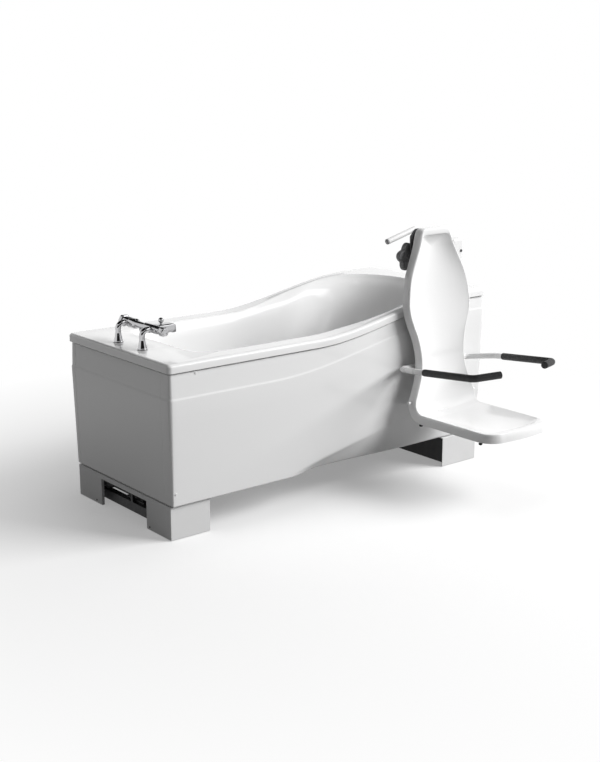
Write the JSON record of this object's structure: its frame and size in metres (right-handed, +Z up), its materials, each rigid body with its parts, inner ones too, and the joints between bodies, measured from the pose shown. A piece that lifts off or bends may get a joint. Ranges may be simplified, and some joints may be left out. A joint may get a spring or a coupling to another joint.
{
  "type": "height-adjustable assisted bath with transfer seat",
  "caption": "Hi-lo bath on lift columns with an S-shaped rim, sculpted panels, a pillar tap and a powered transfer seat with folding arms on a mast.",
  "frame": {"origin": "on the floor, at the centre of the bounding box of the bath and its seat", "axes": "+X along the bath from the foot end with the tap to the head end, +Y from the seat side to the rear, +Z up"},
  "size_m": [1.7, 1.31, 1.1115],
  "materials": {
    "gelcoat": "glossy white gelcoat",
    "panel_white": "satin gloss white moulding",
    "plinth_paint": "powder-coated off-white sheet",
    "black_paint": "black powder coat",
    "grey_paint": "grey primer paint",
    "steel": "drawn stainless steel",
    "chrome": "polished chrome plate",
    "white_paint": "white powder coat",
    "dark_plastic": "dark grey moulded plastic",
    "grey_plastic": "mid grey moulded plastic",
    "rubber": "black rubber",
    "grip_foam": "black sleeve grip"
  },
  "bodies": {
    "base": {"foot_plinth_cover": "plinth_paint", "head_plinth_cover": "plinth_paint", "foot_base_frame": "black_paint", "head_base_frame": "black_paint", "base_beam": "black_paint", "levelling_foot_foot_front": "rubber", "levelling_foot_foot_rear": "rubber", "levelling_foot_head_front": "rubber", "levelling_foot_head_rear": "rubber", "foot_column_outer": "black_paint", "head_column_outer": "black_paint", "foot_lift_motor": "grey_paint", "head_lift_motor": "grey_paint", "control_box": "grey_plastic", "waste_hose": "grey_plastic", "waste_socket": "grey_plastic"},
    "bath": {"foot_column_inner": "steel", "head_column_inner": "steel", "bath_frame": "grey_paint", "bath_frame_foot": "grey_paint", "tub": "gelcoat", "front_panel": "panel_white", "rear_panel": "panel_white", "foot_panel": "panel_white", "head_panel": "panel_white", "waste_fitting": "chrome", "waste_trap": "white_paint", "overflow_fitting": "chrome", "tap_leg_front": "chrome", "tap_leg_rear": "chrome", "tap_body": "chrome", "tap_spout": "chrome", "mast_outer": "white_paint", "deck_collar": "dark_plastic"},
    "waste_plug_body": {"waste_plug": "chrome"},
    "flow_body": {"flow_handle": "chrome"},
    "temperature_body": {"temperature_handle": "chrome"},
    "diverter_body": {"diverter_knob": "chrome"},
    "mast": {"mast_inner": "steel", "swivel_spindle": "steel", "swivel_washer": "dark_plastic"},
    "chair": {"hanger_block": "white_paint", "hanger_arm": "white_paint", "back_frame": "white_paint", "seat_shell": "gelcoat", "shell_peg_right": "white_paint", "shell_peg_left": "white_paint", "seat_buffer_rear_right": "rubber", "seat_buffer_front_right": "rubber", "seat_buffer_rear_left": "rubber", "seat_buffer_front_left": "rubber", "handle_bracket": "dark_plastic", "steering_handle": "white_paint", "handle_cap": "grey_plastic", "arm_pivot_shaft": "steel"},
    "clamp_body": {"clamp_handwheel": "dark_plastic"},
    "right_arm": {"right_arm_tube": "white_paint", "right_arm_grip": "grip_foam"},
    "left_arm": {"left_arm_tube": "white_paint", "left_arm_grip": "grip_foam"}
  },
  "joints": [
    {"name": "bath_lift", "type": "slide", "parent": "base", "child": "bath", "axis": [0, 0, 1], "range_m": [0, 0.3], "deforming": ["waste_hose"]},
    {"name": "plug_lift", "type": "slide", "parent": "bath", "child": "waste_plug_body", "axis": [0, 0, 1], "range_m": [0, 0.012]},
    {"name": "flow_turn", "type": "hinge", "parent": "bath", "child": "flow_body", "pos_m": [-0.728, 0.129, 0.779], "axis": [0, 1, 0], "range_deg": [0, 90]},
    {"name": "temperature_turn", "type": "hinge", "parent": "bath", "child": "temperature_body", "pos_m": [-0.728, 0.387, 0.779], "axis": [0, 1, 0], "range_deg": [-90, 90]},
    {"name": "diverter_pull", "type": "slide", "parent": "bath", "child": "diverter_body", "axis": [0, 0, 1], "range_m": [0, 0.01]},
    {"name": "seat_lift", "type": "slide", "parent": "bath", "child": "mast", "axis": [0, 0, 1], "range_m": [0, 0.5]},
    {"name": "seat_swing", "type": "hinge", "parent": "mast", "child": "chair", "pos_m": [0.74, 0.005, 0.86], "axis": [0, 0, 1], "range_deg": [0, 30]},
    {"name": "clamp_turn", "type": "hinge", "parent": "chair", "child": "clamp_body", "pos_m": [0.415, -0.069, 0.982], "axis": [0, 1, 0], "range_deg": [0, 180]},
    {"name": "right_arm_fold", "type": "hinge", "parent": "chair", "child": "right_arm", "pos_m": [0.313, -0.127, 0.516], "axis": [-1, 0, 0], "range_deg": [0, 80]},
    {"name": "left_arm_fold", "type": "hinge", "parent": "chair", "child": "left_arm", "pos_m": [0.713, -0.127, 0.516], "axis": [-1, 0, 0], "range_deg": [0, 80]}
  ]
}
